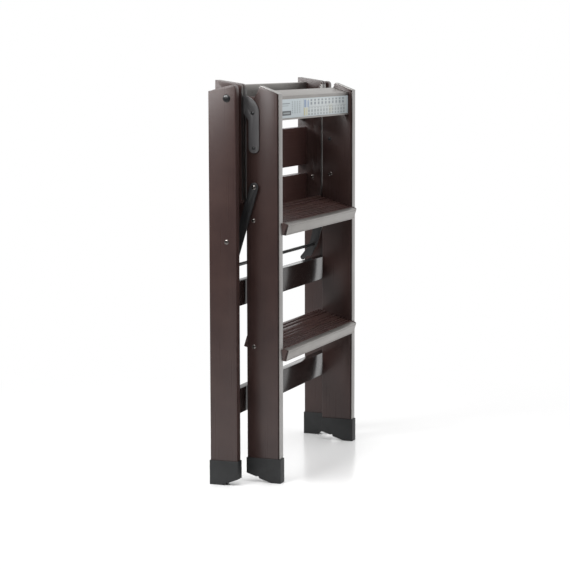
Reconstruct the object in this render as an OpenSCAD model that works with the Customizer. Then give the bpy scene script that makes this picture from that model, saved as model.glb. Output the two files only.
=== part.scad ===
// Folding step ladder, folded: front frame with two treads and a header, wider
// rear frame, fold-down platform between them, and a pair of jointed stays.
// X is the width, the front faces -Y, +Z is up, the feet stand on z = 0.

/* [Overall] */
// Overall height when folded, in mm
height = 889; // [780:1:1067]
// Width over the outer faces of the rear rails
rear_w = 624; // [520:1:750]
// Clear gap beside each front rail, to the rear rail
side_gap = 34; // [31:0.5:44]

/* [Rails] */
// Thickness of every rail across the width
rail_t = 20.5; // [17:0.5:25]
// Depth of a front rail, front to back
front_d = 77; // [66:0.5:93]
// Depth of a rear rail, front to back
rear_d = 63; // [54:0.5:76]
// Gap between the front rails and the rear rails in depth
frame_gap = 3; // [2:0.5:6]
// Wall of the hollow rails
wall = 1.8; // [1.2:0.1:3]
// Thickness of the light edge strips
trim_t = 1.2; // [0.8:0.1:3]
// Width of the shadow groove behind an edge strip
groove_w = 2.8; // [1:0.1:4]

/* [Angles] */
// Lean of the front rails when the ladder stands open, in degrees
lean_f = 17; // [14:0.5:20]
// Lean of the rear rails when the ladder stands open, in degrees
lean_r = 21; // [17:0.5:24]

/* [Treads] */
// Height of the lower tread's front edge
lower_z = 294; // [240:1:340]
// Height of the upper tread's front edge
upper_z = 573; // [480:1:620]
// Depth of a tread, nosing included
tread_d = 103; // [88:1:108]
// Thickness of a tread
tread_h = 24.6; // [20:0.5:30]
// How far the nosing stands forward of the rails
nose_out = 12.8; // [8:0.2:18]
// Depth of the light nosing section
nose_d = 13; // [9:0.5:20]
// Depth of the grip grooves along a tread's top
groove_h = 2.4; // [1:0.2:4]

/* [Platform] */
// Length of the platform, which hangs down when folded
plat_len = 317; // [265:1:330]
// Thickness of the inner leaf of a platform side
plat_t = 12; // [9:0.5:15]
// Thickness of a platform slat
slat_t = 22; // [16:0.5:26]
// Gap between two slats
slat_gap = 21.5; // [12:0.5:30]

/* [Hidden] */
eps = 0.02;
fit = 0.06;          // radial clearance of a running pin
loose = 0.3;         // clearance between parts that pass each other
round_fn = 64;
dome = 0.72;         // radius of a rivet head's crown, as a share

half_f = rear_w / 2 - rail_t - side_gap;      // outer face of a front rail
half_fi = half_f - rail_t;                    // inner face of a front rail
half_r = rear_w / 2;
half_ri = half_r - rail_t;
rear_y = front_d + frame_gap;                 // front face of a rear rail
back_y = rear_y + rear_d;
boot_t = 2;
boot_h = 54.5;
sole_t = 12;
y_shift = -(back_y + boot_t - nose_out) / 2;  // centres the depth on y = 0

// main pivot of the rear frame and of the platform
pin_y = rear_y + 20.2;
pin_z = height - 39;
pin_r = 6;
pin_head_r = 8.5;
pin_head_t = 3;
boss_r = 10;

// rail tops
top_f = height - 13;
cham_angle = 21.4;
cham_y = 43.5;
cham_drop = cham_y * tan(cham_angle);
back_cham_y = 48;
back_cham_drop = 4;
back_cham_end = top_f - 62;
trim_in = trim_t * 1.09;
crown_in = 8;
trim_end_y = back_cham_y - 1.4;
trim_end_z = top_f - back_cham_drop - 1.6;
fall_angle = 14.8;
top_r = pin_z + 29.2;
top_r_round = 9;
top_r_slope = tan(fall_angle);
top_in = 12;
toe_flat = 22;
heel_flat = 33;

// step in the sole of a boot: where it starts and ends behind the flat, and its heights
notch_front = [30, 5];
notch_rear = [6, 5];
notch_h = 3.4;
sole_lift = 1.6;
sole_edge = 2;

// end caps of the nosings
cap_in = 5;
cap_back = 9;
cap_rise = 0.6;
cap_run = 2;
nose_x0 = -half_fi + cap_in;
nose_cut = 1.5;
nose_line = 1.6;
nose_line_at = 0.72;

// hinge plate on a front rail
plate_t = 3.5;
plate_y0 = 46;
plate_w = 24;
plate_low = pin_z - 108;
plate_neck = pin_z - 48;
plate_eye_r = 14;
plate_arc_r = 40;
plate_arc_z = pin_z - 34.5;
rivet_r = 4.2;
rivet_t = 1.8;
rivet_shank = 2.5;
plate_rivets = [[60.5, pin_z - 33], [58, pin_z - 109]];

// stays: a long arm on each front rail, a short link on each rear rail
arm_y = 56.5;
arm_z = pin_z - 194;
arm_len = 183.4;
arm_tilt = 17;
arm_r = 10;
arm_t = 3;
arm_gap = 4.5;
knee_y = arm_y + arm_len * sin(arm_tilt);
knee_z = arm_z - arm_len * cos(arm_tilt);
tail_y = 27;
tail_z = -33;
tail_r = 6;
foot_y = 10;
foot_z = -22;
foot_r = 8;
link_y = pin_y + 1.9;
link_z = pin_z - 310.8;
link_t = 3;
link_r = 8;
link_gap = 1.5;
arm_x0 = half_f + arm_gap;
link_x0 = arm_x0 + arm_t + link_gap;
rod_r = 3.8;
rod_wall = 1.2;
rod_end = 2;
stay_pin_r = 4;
stay_boss_r = 7;
stay_head_r = 5.2;
stay_head_t = 1.8;

// grip grooves on a tread: place along its depth, as a share, and width
grooves = [[0.07, 3], [0.15, 3], [0.23, 3], [0.31, 3], [0.46, 1.6], [0.56, 1.6], [0.75, 4],
    [0.87, 4]];

// header between the front rails
head_y = 11;
head_z = height - 35.6;
head_h = 53;
head_d = 36;
head_t = 2.4;
lip_h = 3.4;
brow_h = 7;
brow_slant = 2;
lip_out = 1.4;
head_tail = 7;
head_foot = 12;
label_t = 0.8;
label_side = 4;
label_gap = 0.5;

// crossbars between the rear rails
bar_y = rear_y + 4;
bar_d = 20;
bar_h = 55;
bar_t = 2.2;
bar_cut = 2.5;
bar_lip = 8;
bar_head_r = 3.36;
bar_head_t = 3;
bar_u_z = 396;
bar_l_z = 157.5;

// platform
plat_x1 = half_f - 0.6;
plat_x0 = plat_x1 - plat_t;
plat_set = 1;
plat_y0 = rear_y + plat_set;
cheek_gap = 1;
cheek_x0 = half_f + plate_t + cheek_gap;
cheek_t = 10.5;
cheek_x1 = cheek_x0 + cheek_t;
cheek_z0 = height - 270;
slot_y = pin_y + plate_eye_r + 3;
plat_z0 = height - plat_len;
plat_top_drop = 8;
plat_round = 9;
plat_rivet = [5, 201];
plat_head_in = 1.6;
plat_head_out = 1.2;
nose_top = height - 12;
nose_h = 27;
slat_h = 91;
slat2_z = height - 211;
slat_wall = 1.8;
slat_cut = 1.2;
slat_groove = 2.2;
slat_pitch = 9;
slat_edge = 6;
slat_first = 4;
lug_r = 5;
lug_pin_r = 3;
lug_pin = 4;
stop_play = 0.7;
lug_ring = 30;
lug_angle = -10;
open_main = lean_f + lean_r;
open_plat = 90 + lean_f;
stud_angle = lug_angle + open_plat - open_main + 2 * asin(lug_r / lug_ring) + stop_play;
lug_x1 = half_ri - 3.5;
stud_x0 = cheek_x1 + 3.5;
screw_r = 4.6;
screw_t = 1.6;
screw_grip = 6;
screw_in_y = 60.5;

brown = "#4a3a37";
light = "#b9b6b0";
black = "#26282a";

// ---- helpers -------------------------------------------------------------

// A profile drawn in depth and height, drawn out along the width.
module across(x0, x1) {
    translate([x0, 0, 0])
        rotate([90, 0, 90])
            linear_extrude(height = x1 - x0)
                children();
}

// A round bar along the width.
module bar(y, z, x0, x1, r) {
    translate([x0, y, z])
        rotate([0, 90, 0])
            cylinder(r = r, h = x1 - x0, $fn = round_fn);
}

// The left-hand piece, or its mirror image for the right-hand side.
module on_side(s) {
    mirror([s > 0 ? 1 : 0, 0, 0])
        children();
}

module both() {
    for (s = [-1, 1])
        on_side(s)
            children();
}

function arc(y, z, r, a0, a1, n) =
    [for (i = [0 : n]) [y + r * cos(a0 + (a1 - a0) * i / n), z + r * sin(a0 + (a1 - a0) * i / n)]];

// A flat link: two round ends joined by straight sides.
module capsule(y0, z0, y1, z1, r) {
    a = atan2(z1 - z0, y1 - y0);
    polygon(concat(arc(y1, z1, r, a - 90, a + 90, 24),
        arc(y0, z0, r, a + 90, a + 270, 24)));
}

// A low button head with its shank, pointing out along -X from x.
module rivet(y, z, x, r, t, shank_r, shank) {
    bar(y, z, x - t / 2, x, r);
    bar(y, z, x - t, x - t / 2, r * dome);
    bar(y, z, x, x + shank, shank_r);
}

// ---- front frame ---------------------------------------------------------

function sole_rise(y) = sole_t + max(0, y - toe_flat) * tan(lean_f);

module front_rail(s) {
    y1 = trim_t + groove_w;
    top1 = top_f - cham_drop - trim_in + y1 * tan(cham_angle);
    color(brown)
        on_side(s)
            difference() {
                across(-half_f, -half_fi)
                    polygon([[y1, sole_t], [toe_flat, sole_t], [front_d, sole_rise(front_d)],
                        [front_d, back_cham_end], [trim_end_y, trim_end_z],
                        [cham_y, top_f - trim_in], [y1, top1]]);
                across(-half_f + wall, -half_fi - wall)
                    polygon([[y1 + wall, -eps], [front_d - wall, -eps],
                        [front_d - wall, back_cham_end - wall], [cham_y, top_f - crown_in],
                        [y1 + wall, top1 - crown_in / 2]]);
                for (z = [lower_z, upper_z])
                    bar(screw_in_y, screw_z(z), -half_f - 1, -half_fi + 1, rivet_shank + fit);
                for (p = plate_rivets)
                    bar(p[0], p[1], -half_f - 1, -half_fi + 1, rivet_shank + fit);
                bar(arm_y, arm_z, -half_f - 1, -half_fi + 1, stay_pin_r + fit);
            }
}

module edge_strip(s) {
    neck = wall + 0.9;
    neck_top = top_f - cham_drop - crown_in / 2;
    color(light)
        on_side(s) {
            across(-half_f, -half_fi)
                polygon([[0, sole_t], [0, top_f - cham_drop], [cham_y, top_f],
                    [back_cham_y, top_f - back_cham_drop],
                    [trim_end_y, trim_end_z],
                    [cham_y, top_f - trim_in],
                    [trim_t, top_f - cham_drop - trim_in + trim_t * tan(cham_angle)],
                    [trim_t, sole_t]]);
            across(-half_f + neck, -half_fi - neck)
                polygon([[trim_t - eps, sole_t], [trim_t + groove_w, sole_t],
                    [trim_t + groove_w, neck_top], [trim_t - eps, neck_top]]);
        }
}

function screw_z(z) = z + (screw_in_y + nose_out) * tan(lean_f) - tread_h * 0.5 / cos(lean_f);

// Places a profile whose origin is a tread's top front edge.
module tread_frame(z) {
    translate([0, -nose_out, z])
        rotate([lean_f, 0, 0])
            children();
}

module tread(z) {
    cell = (tread_d - nose_d) / 3;
    color(brown)
        difference() {
            tread_frame(z)
                across(-half_fi, half_fi)
                    difference() {
                        translate([nose_d, -tread_h])
                            square([tread_d - nose_d, tread_h]);
                        for (g = grooves)
                            translate([nose_d + g[0] * (tread_d - nose_d), -groove_h])
                                square([g[1], groove_h + eps]);
                        for (i = [0 : 2])
                            translate([nose_d + wall + i * cell, -tread_h + wall])
                                square([cell - (i < 2 ? wall : 2 * wall), tread_h - 2 * wall - groove_h]);
                    }
            for (x = [-half_fi, half_fi])
                bar(screw_in_y, screw_z(z), x - 2 * screw_grip, x + 2 * screw_grip,
                    rivet_shank + fit);
        }
}

module nosing(z) {
    color(light)
        tread_frame(z)
            across(nose_x0, -nose_x0)
                difference() {
                    polygon([[nose_cut, 0], [nose_d, 0], [nose_d, -tread_h], [0, -tread_h],
                        [0, -nose_cut]]);
                    translate([wall, -tread_h + wall])
                        square([nose_d - 2 * wall, tread_h - 2 * wall]);
                    translate([-eps, -tread_h * nose_line_at])
                        square([nose_line / 2, nose_line]);
                }
}

// End cap of a nosing: its corner runs back to the front of the rail.
module cap(z, s) {
    x0 = -half_f + cap_back;
    y_front = -2 * nose_out;
    y_rail = -2 * fit;
    color(brown)
        on_side(s)
            intersection() {
                tread_frame(z)
                    translate([0, 0, -tread_h])
                        linear_extrude(height = tread_h + cap_rise)
                            polygon([[x0, nose_out + cap_run], [nose_x0, -cap_rise], [nose_x0, nose_d],
                                [-half_fi, nose_d], [-half_fi, nose_out + cap_back],
                                [x0, nose_out + cap_back]]);
                translate([0, 0, z - 2 * tread_h])
                    linear_extrude(height = 4 * tread_h)
                        polygon([[-half_f, y_front], [nose_x0 + 1, y_front], [nose_x0 + 1, tread_d],
                            [-half_fi, tread_d], [-half_fi, y_rail], [-half_f, y_rail]]);
            }
}

module tread_screws() {
    color(light)
        both()
            for (z = [lower_z, upper_z])
                rivet(screw_in_y, screw_z(z), -half_f, screw_r, screw_t, rivet_shank,
                    rail_t + screw_grip);
}

module header_bar() {
    slope = tan(lean_f);
    front = head_y - lip_out;
    back = head_y + head_d;
    top = head_z + (head_d + lip_out) * slope;
    low = head_z - head_h;
    color(light)
        across(-half_fi, half_fi)
            polygon([[front, head_z], [back, top], [back, top - head_tail],
                [back - head_t, top - head_tail],
                [back - head_t, head_z + (head_d - head_t) * slope - head_t],
                [head_y + head_t, head_z - head_t], [head_y + head_t, low + head_t],
                [head_y + head_foot, low + head_t], [head_y + head_foot, low], [front, low],
                [front, low + lip_h], [head_y, low + lip_h], [head_y, head_z - brow_h],
                [front, head_z - brow_h + brow_slant]]);
}

module label_plate() {
    color("#dfe0dd")
        translate([-half_fi + label_side, head_y - label_t, head_z - head_h + lip_h + label_gap])
            cube([2 * (half_fi - label_side), label_t, head_h - lip_h - brow_h - 2 * label_gap]);
}

module hinge_plate(s) {
    x0 = -half_f - plate_t;
    y1 = plate_y0 + plate_w;
    color(black)
        on_side(s)
            difference() {
                across(x0, -half_f)
                    polygon(concat(
                        arc(plate_y0 + plate_w / 2, plate_low, plate_w / 2, 180, 360, 24),
                        [[y1, plate_neck]],
                        arc(pin_y, pin_z, plate_eye_r, -100, 120, 36),
                        arc(plate_y0 + plate_arc_r, plate_arc_z, plate_arc_r, 95, 180, 24)));
                bar(pin_y, pin_z, x0 - 1, -half_f + 1, pin_r + fit);
                for (p = plate_rivets)
                    bar(p[0], p[1], x0 - 1, -half_f + 1, rivet_shank + fit);
            }
}

module hinge_rivets() {
    color(black)
        both()
            for (p = plate_rivets) {
                rivet(p[0], p[1], -half_f - plate_t, rivet_r, rivet_t, rivet_shank, plate_t + rail_t);
                bar(p[0], p[1], -half_fi, -half_fi + rivet_t, rivet_r);
            }
}

// Pivot pins of the arms, with a head on each face of the front rail.
module arm_pins() {
    color(light)
        both() {
            bar(arm_y, arm_z, -arm_x0 - arm_t - loose, -half_fi + 1, stay_pin_r);
            bar(arm_y, arm_z, -arm_x0 + loose, -half_f, stay_boss_r);
            bar(arm_y, arm_z, -arm_x0 - arm_t - loose - stay_head_t, -arm_x0 - arm_t - loose,
                stay_head_r);
            bar(arm_y, arm_z, -half_fi, -half_fi + stay_head_t, stay_head_r);
        }
}

// A boot round the end of a rail: its sole is a list of points, its socket another.
module boot(x0, x1, sole, y0, y1, socket) {
    color(black)
        difference() {
            across(x0 - boot_t, x1 + boot_t)
                polygon(concat(sole, [[y1, boot_h], [y0, boot_h]]));
            across(x0, x1)
                polygon(socket);
        }
}

module front_boot(s) {
    rise = tan(lean_f);
    flat_y = toe_flat - sole_edge;
    n0 = flat_y + notch_front[0];
    n1 = n0 + notch_front[1];
    heel = front_d + boot_t;
    on_side(s)
        boot(-half_f, -half_fi,
            [[-boot_t, 0], [flat_y, 0], [n0, (n0 - flat_y) * rise],
                [n0, (n0 - flat_y) * rise + notch_h], [n1, (n1 - flat_y) * rise + notch_h],
                [n1, (n1 - flat_y) * rise + sole_lift], [heel, (heel - flat_y) * rise + sole_lift]],
            -boot_t, heel,
            [[0, sole_t], [toe_flat, sole_t], [front_d, sole_rise(front_d)],
                [front_d, boot_h + 1], [0, boot_h + 1]]);
}

// ---- rear frame ----------------------------------------------------------

function heel_rise(y) = sole_t + max(0, back_y - heel_flat - y) * tan(lean_r);

module rear_rail(s) {
    round_y = rear_y + top_r_round;
    inner_top = top_r - top_in;
    color(brown)
        on_side(s)
            difference() {
                across(-half_r, -half_ri) {
                    polygon([[rear_y, heel_rise(rear_y)], [back_y - heel_flat, sole_t], [back_y, sole_t],
                        [back_y, top_r - (rear_d - top_r_round) * top_r_slope],
                        [round_y + top_r_round * sin(fall_angle),
                            top_r - top_r_round * (1 - cos(fall_angle))],
                        [round_y, top_r - top_r_round], [rear_y, top_r - top_r_round]]);
                    translate([round_y, top_r - top_r_round])
                        circle(r = top_r_round, $fn = round_fn);
                }
                across(-half_r + wall, -half_ri - wall)
                    polygon([[rear_y + wall, -eps], [back_y - wall, -eps],
                        [back_y - wall, inner_top - rear_d * top_r_slope], [rear_y + wall, inner_top]]);
                bar(pin_y, pin_z, -half_r - 1, -half_ri + 1, pin_r + fit);
                bar(link_y, link_z, -half_r - 1, -half_ri + 1, stay_pin_r + fit);
                for (p = bar_rivets())
                    bar(p[0], p[1], -half_r + wall + 1, -half_ri + 1, rivet_shank + fit);
                bar(stud_y(), stud_z(), -half_r + wall + 1, -half_ri + 1, lug_pin_r + fit);
            }
}

function stud_y() = pin_y + lug_ring * sin(stud_angle);
function stud_z() = pin_z - lug_ring * cos(stud_angle);
function bar_rivets() = [for (z = [bar_u_z, bar_l_z]) [bar_y + bar_d - bar_lip, z + bar_h / 2]];

module crossbar(z) {
    back = bar_y + bar_d;
    top = z + bar_h;
    color(brown)
        across(-half_ri, half_ri)
            polygon([[bar_y, z], [bar_y, top - bar_cut], [bar_y + bar_cut, top], [back, top],
                [back, top - bar_lip], [back - bar_t, top - bar_lip], [back - bar_t, top - bar_t],
                [bar_y + bar_t + 1, top - bar_t], [bar_y + bar_t, top - bar_t - 1],
                [bar_y + bar_t, z + bar_t], [back - bar_t, z + bar_t], [back - bar_t, z + bar_lip],
                [back, z + bar_lip], [back, z]]);
}

// Small fixings at the ends of the crossbars, on the inner faces of the rails.
module crossbar_rivets() {
    color(light)
        both()
            for (p = bar_rivets()) {
                bar(p[0], p[1], -half_r + wall + 2, -half_ri, rivet_shank);
                bar(p[0], p[1], -half_ri, -half_ri + bar_head_t, bar_head_r);
            }
}

module rear_boot(s) {
    rise = tan(lean_r);
    flat_y = back_y - heel_flat + sole_edge;
    n0 = flat_y - notch_rear[0];
    n1 = n0 - notch_rear[1];
    toe = rear_y - boot_t;
    on_side(s)
        boot(-half_r, -half_ri,
            [[back_y + boot_t, 0], [flat_y, 0], [n0, (flat_y - n0) * rise],
                [n0, (flat_y - n0) * rise + notch_h], [n1, (flat_y - n1) * rise + notch_h],
                [n1, (flat_y - n1) * rise + sole_lift], [toe, (flat_y - toe) * rise + sole_lift]],
            back_y + boot_t, toe,
            [[rear_y, heel_rise(rear_y)], [back_y - heel_flat, sole_t], [back_y, sole_t],
                [back_y, boot_h + 1], [rear_y, boot_h + 1]]);
}

// Main pivot: head, shaft and spacer sleeve turn with the rear frame.
module hinge_pin(s) {
    tail = -plat_x0 + loose;
    color(black)
        on_side(s) {
            bar(pin_y, pin_z, -half_r - pin_head_t, -half_r, pin_head_r);
            bar(pin_y, pin_z, -half_r, tail + pin_head_t, pin_r);
            bar(pin_y, pin_z, -half_ri, -cheek_x1 - loose, boss_r);
            bar(pin_y, pin_z, tail, tail + pin_head_t, pin_head_r);
        }
}

module link_pins() {
    color(light)
        both() {
            bar(link_y, link_z, -half_r - stay_head_t, -half_r, stay_head_r);
            bar(link_y, link_z, -half_r, -link_x0 + loose, stay_pin_r);
            bar(link_y, link_z, -half_ri, -link_x0 - link_t - loose, stay_boss_r);
        }
}

module stop_studs() {
    color(black)
        both() {
            bar(stud_y(), stud_z(), -half_ri, -stud_x0, lug_r);
            bar(stud_y(), stud_z(), -half_ri - wall, -half_ri, lug_pin_r);
        }
}

// ---- platform ------------------------------------------------------------

// Outline of a platform side down to z_low, drawn in by an inset.
module plate_outline(z_low, inset) {
    y0 = plat_y0 + inset;
    y1 = back_y - inset;
    z0 = z_low + inset;
    z1 = height - inset;
    r = plat_round - inset;
    polygon(concat(arc(y0 + r, z0 + r, r, 180, 270, 12), arc(y1 - r, z0 + r, r, 270, 360, 12),
        [[y1, z1]], arc(y0 + r, z1 - plat_top_drop - r, r, 98, 180, 12)));
}

function plat_rivet_yz() = [pin_y + plat_rivet[0], pin_z - plat_rivet[1]];

// A hollow inner leaf and a shorter solid outer cheek, joined along the rear edge.
module platform_plate(s) {
    p = plat_rivet_yz();
    strip_z0 = plat_z0 + plat_round;
    strip_z1 = height - plat_top_drop - plat_round;
    color(brown)
        on_side(s)
            difference() {
                union() {
                    difference() {
                        across(-plat_x1, -plat_x0)
                            plate_outline(plat_z0, 0);
                        across(-plat_x1 + wall, -plat_x0 - wall)
                            plate_outline(plat_z0, wall);
                        across(-plat_x1 - 1, -plat_x0 + 1)
                            translate([plat_y0 - eps, strip_z0])
                                square([trim_t + eps, strip_z1 - strip_z0]);
                    }
                    across(-plat_x1 + eps, -plat_x0 - eps)
                        translate([plat_y0 + trim_t, strip_z0])
                            square([wall, strip_z1 - strip_z0]);
                    bar(pin_y, pin_z, -plat_x1 + eps, -plat_x0 - eps, boss_r);
                    across(-cheek_x1, -cheek_x0)
                        plate_outline(cheek_z0, 0);
                    across(-cheek_x0 - eps, -plat_x1 + eps)
                        intersection() {
                            plate_outline(cheek_z0, 0);
                            translate([slot_y, cheek_z0])
                                square([back_y - slot_y, height]);
                        }
                }
                bar(pin_y, pin_z, -cheek_x1 - 1, -plat_x0 + 1, pin_r + fit);
                bar(p[0], p[1], -plat_x1 - 1, -plat_x0 + 1, rivet_shank + fit);
                bar(lug_y(), lug_z(), -cheek_x1 - 1, -cheek_x1 + lug_pin + 1, lug_pin_r + fit);
                across(-cheek_x1 - 1, -cheek_x0 + eps)
                    translate([plat_y0 - eps, cheek_z0 + plat_round])
                        square([trim_t + eps, strip_z1 - cheek_z0 - plat_round]);
            }
}

module platform_strip(s) {
    color(light)
        on_side(s)
            for (x = [[plat_x1, plat_x0, plat_z0], [cheek_x1, cheek_x0, cheek_z0]])
                across(-x[0], -x[1])
                    translate([plat_y0, x[2] + plat_round])
                        square([trim_t, height - plat_top_drop - 2 * plat_round - x[2]]);
}

function lug_y() = pin_y + lug_ring * sin(lug_angle);
function lug_z() = pin_z - lug_ring * cos(lug_angle);

module platform_lugs() {
    color(black)
        both() {
            bar(lug_y(), lug_z(), -lug_x1, -cheek_x1, lug_r);
            bar(lug_y(), lug_z(), -cheek_x1, -cheek_x1 + lug_pin, lug_pin_r);
        }
}

module platform_nosing() {
    y0 = back_y - slat_t;
    color(light)
        across(-plat_x0, plat_x0)
            difference() {
                polygon([[y0, nose_top - nose_h], [back_y, nose_top - nose_h],
                    [back_y, nose_top - nose_cut], [back_y - nose_cut, nose_top], [y0, nose_top]]);
                translate([y0 + wall, nose_top - nose_h + wall])
                    square([slat_t - 2 * wall, nose_h - 2 * wall]);
            }
}

// A hollow slat with grip grooves on its walking face.
module slat(z0, z1) {
    y0 = back_y - slat_t;
    n = floor((z1 - z0 - slat_edge) / slat_pitch);
    step = (z1 - z0 - slat_edge) / n;
    color(brown)
        across(-plat_x0, plat_x0)
            difference() {
                translate([y0, z0])
                    square([slat_t, z1 - z0]);
                translate([y0 + slat_wall, z0 + slat_wall])
                    square([slat_t - 2 * slat_wall - slat_cut, z1 - z0 - 2 * slat_wall]);
                for (i = [0 : n - 1])
                    translate([back_y - slat_cut, z0 + slat_first + i * step])
                        square([slat_cut + eps, slat_groove]);
            }
}

module platform_rivets() {
    p = plat_rivet_yz();
    color(light)
        both() {
            bar(p[0], p[1], -plat_x1 - plat_head_out, -plat_x1, rivet_r);
            bar(p[0], p[1], -plat_x1, -plat_x0, rivet_shank);
            bar(p[0], p[1], -plat_x0, -plat_x0 + plat_head_in, rivet_r);
        }
}

// ---- stays ---------------------------------------------------------------

module stay_arm(s) {
    color(black)
        on_side(s)
            difference() {
                union() {
                    across(-arm_x0 - arm_t, -arm_x0) {
                        capsule(arm_y, arm_z, knee_y, knee_z, arm_r);
                        capsule(knee_y, knee_z, knee_y + tail_y, knee_z + tail_z, tail_r);
                        capsule(knee_y, knee_z, knee_y + foot_y, knee_z + foot_z, foot_r);
                    }
                    bar(knee_y, knee_z, -arm_x0 - arm_t - link_gap + loose, -arm_x0, stay_boss_r);
                }
                bar(arm_y, arm_z, -arm_x0 - arm_t - 1, -arm_x0 + 1, stay_pin_r + fit);
            }
}

module stay_rod() {
    color(black)
        difference() {
            bar(knee_y, knee_z, -arm_x0, arm_x0, rod_r);
            bar(knee_y, knee_z, -arm_x0 + rod_end, arm_x0 - rod_end, rod_r - rod_wall);
        }
}

module stay_link(s) {
    color(black)
        on_side(s)
            difference() {
                union() {
                    across(-link_x0 - link_t, -link_x0)
                        capsule(link_y, link_z, knee_y, knee_z, link_r);
                    bar(knee_y, knee_z, -link_x0 - link_t - stay_head_t, -link_x0 - link_t, stay_head_r);
                }
                bar(link_y, link_z, -link_x0 - link_t - 1, -link_x0 + 1, stay_pin_r + fit);
            }
}

// ---- the parts, in place -------------------------------------------------

module placed() {
    translate([0, y_shift, 0])
        children();
}

placed() front_rail(-1);  // front_rail_left
placed() front_rail(1);  // front_rail_right
placed() edge_strip(-1);  // edge_strip_left
placed() edge_strip(1);  // edge_strip_right
placed() tread(upper_z);  // upper_tread
placed() tread(lower_z);  // lower_tread
placed() nosing(upper_z);  // upper_nosing
placed() nosing(lower_z);  // lower_nosing
placed() cap(upper_z, -1);  // upper_cap_left
placed() cap(upper_z, 1);  // upper_cap_right
placed() cap(lower_z, -1);  // lower_cap_left
placed() cap(lower_z, 1);  // lower_cap_right
placed() tread_screws();
placed() header_bar();
placed() label_plate();
placed() hinge_plate(-1);  // hinge_plate_left
placed() hinge_plate(1);  // hinge_plate_right
placed() hinge_rivets();
placed() arm_pins();
placed() front_boot(-1);  // front_boot_left
placed() front_boot(1);  // front_boot_right
placed() rear_rail(-1);  // rear_rail_left
placed() rear_rail(1);  // rear_rail_right
placed() crossbar(bar_u_z);  // upper_crossbar
placed() crossbar(bar_l_z);  // lower_crossbar
placed() crossbar_rivets();
placed() rear_boot(-1);  // rear_boot_left
placed() rear_boot(1);  // rear_boot_right
placed() hinge_pin(-1);  // hinge_pin_left
placed() hinge_pin(1);  // hinge_pin_right
placed() link_pins();
placed() stop_studs();
placed() platform_plate(-1);  // platform_plate_left
placed() platform_plate(1);  // platform_plate_right
placed() platform_strip(-1);  // platform_strip_left
placed() platform_strip(1);  // platform_strip_right
placed() platform_nosing();
placed() slat(slat2_z + slat_h + slat_gap, nose_top - nose_h);  // slat_front
placed() slat(slat2_z, slat2_z + slat_h);  // slat_middle
placed() slat(plat_z0 + slat_edge, slat2_z - slat_gap);  // slat_rear
placed() platform_rivets();
placed() platform_lugs();
placed() stay_arm(-1);  // stay_arm_left
placed() stay_arm(1);  // stay_arm_right
placed() stay_rod();
placed() stay_link(-1);  // stay_link_left
placed() stay_link(1);  // stay_link_right
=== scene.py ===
"""Folding step ladder, folded: its detailed pieces, finishes, light and camera.

Sizes are in millimetres and become metres only where a mesh is made. X is the
width, with the left side at -X, the front of the ladder faces -Y and +Z is up.
"""
import math

import bmesh
import bpy
from mathutils import Matrix, Vector


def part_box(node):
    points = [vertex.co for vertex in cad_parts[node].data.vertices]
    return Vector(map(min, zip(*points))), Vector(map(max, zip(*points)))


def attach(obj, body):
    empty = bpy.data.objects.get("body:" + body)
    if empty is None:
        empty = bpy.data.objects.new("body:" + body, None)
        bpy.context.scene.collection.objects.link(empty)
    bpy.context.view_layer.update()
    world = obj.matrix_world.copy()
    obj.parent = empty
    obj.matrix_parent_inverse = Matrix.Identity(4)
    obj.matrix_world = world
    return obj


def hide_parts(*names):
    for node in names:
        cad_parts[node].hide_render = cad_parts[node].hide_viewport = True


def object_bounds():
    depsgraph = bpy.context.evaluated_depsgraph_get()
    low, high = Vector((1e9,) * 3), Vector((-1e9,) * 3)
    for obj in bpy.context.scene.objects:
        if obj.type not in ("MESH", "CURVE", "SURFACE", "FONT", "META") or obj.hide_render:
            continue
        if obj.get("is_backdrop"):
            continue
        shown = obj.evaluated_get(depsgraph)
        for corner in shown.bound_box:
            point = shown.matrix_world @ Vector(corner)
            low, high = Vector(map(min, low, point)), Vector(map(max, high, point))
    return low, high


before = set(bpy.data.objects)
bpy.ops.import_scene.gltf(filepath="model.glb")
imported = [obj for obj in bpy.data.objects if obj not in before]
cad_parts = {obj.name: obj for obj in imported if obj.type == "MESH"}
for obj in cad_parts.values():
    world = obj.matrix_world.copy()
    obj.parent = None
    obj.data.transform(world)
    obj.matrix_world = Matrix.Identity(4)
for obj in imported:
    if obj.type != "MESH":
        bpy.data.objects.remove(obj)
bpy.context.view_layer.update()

MM = 0.001


def corners(name):
    """Lowest and highest corner of a CAD node, in millimetres."""
    low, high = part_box(name)
    return low / MM, high / MM


def centre(name):
    """Depth and height of the middle of a CAD node."""
    low, high = corners(name)
    return (low.y + high.y) / 2, (low.z + high.z) / 2


# ---------------------------------------------------------------- measures
LEAN_FRONT = math.radians(17)      # lean of the front rails when open
LEAN_REAR = math.radians(21)       # lean of the rear rails when open
TOP_CHAMFER = math.radians(21.4)   # slope of a front rail's top
TOP_FALL = math.radians(14.8)      # slope of a rear rail's top
TRIM, TRIM_IN = 1.2, 1.3           # thickness of an edge strip, square to it and upright
DRAWN_EDGE = 0.9                   # rounding along the edges of a drawn rail
LINE_DEPTH = 0.7                   # depth of the fine lines along a nosing
ROUND = 48                         # sides of a round part
SMOOTH = math.radians(35)          # faces that meet at less than this are shaded as one
FACING = 0.9                       # share of a direction that counts as facing that way

rail_low, rail_high = corners("front_rail_left")
strip_low, strip_high = corners("edge_strip_left")
rear_low, rear_high = corners("rear_rail_left")
plate_low, plate_high = corners("platform_plate_left")
front_y, top_z = strip_low.y, strip_high.z
inner, outer = -rail_high.x, -rail_low.x    # from the middle to a front rail's two faces
nose_left = corners("upper_nosing")[0].x
pin_y, pin_z = centre("hinge_pin_left")


# ---------------------------------------------------------------- modelling
def deselect():
    bpy.ops.object.select_all(action="DESELECT")


def select_only(piece):
    deselect()
    piece.select_set(True)
    bpy.context.view_layer.objects.active = piece


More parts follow.
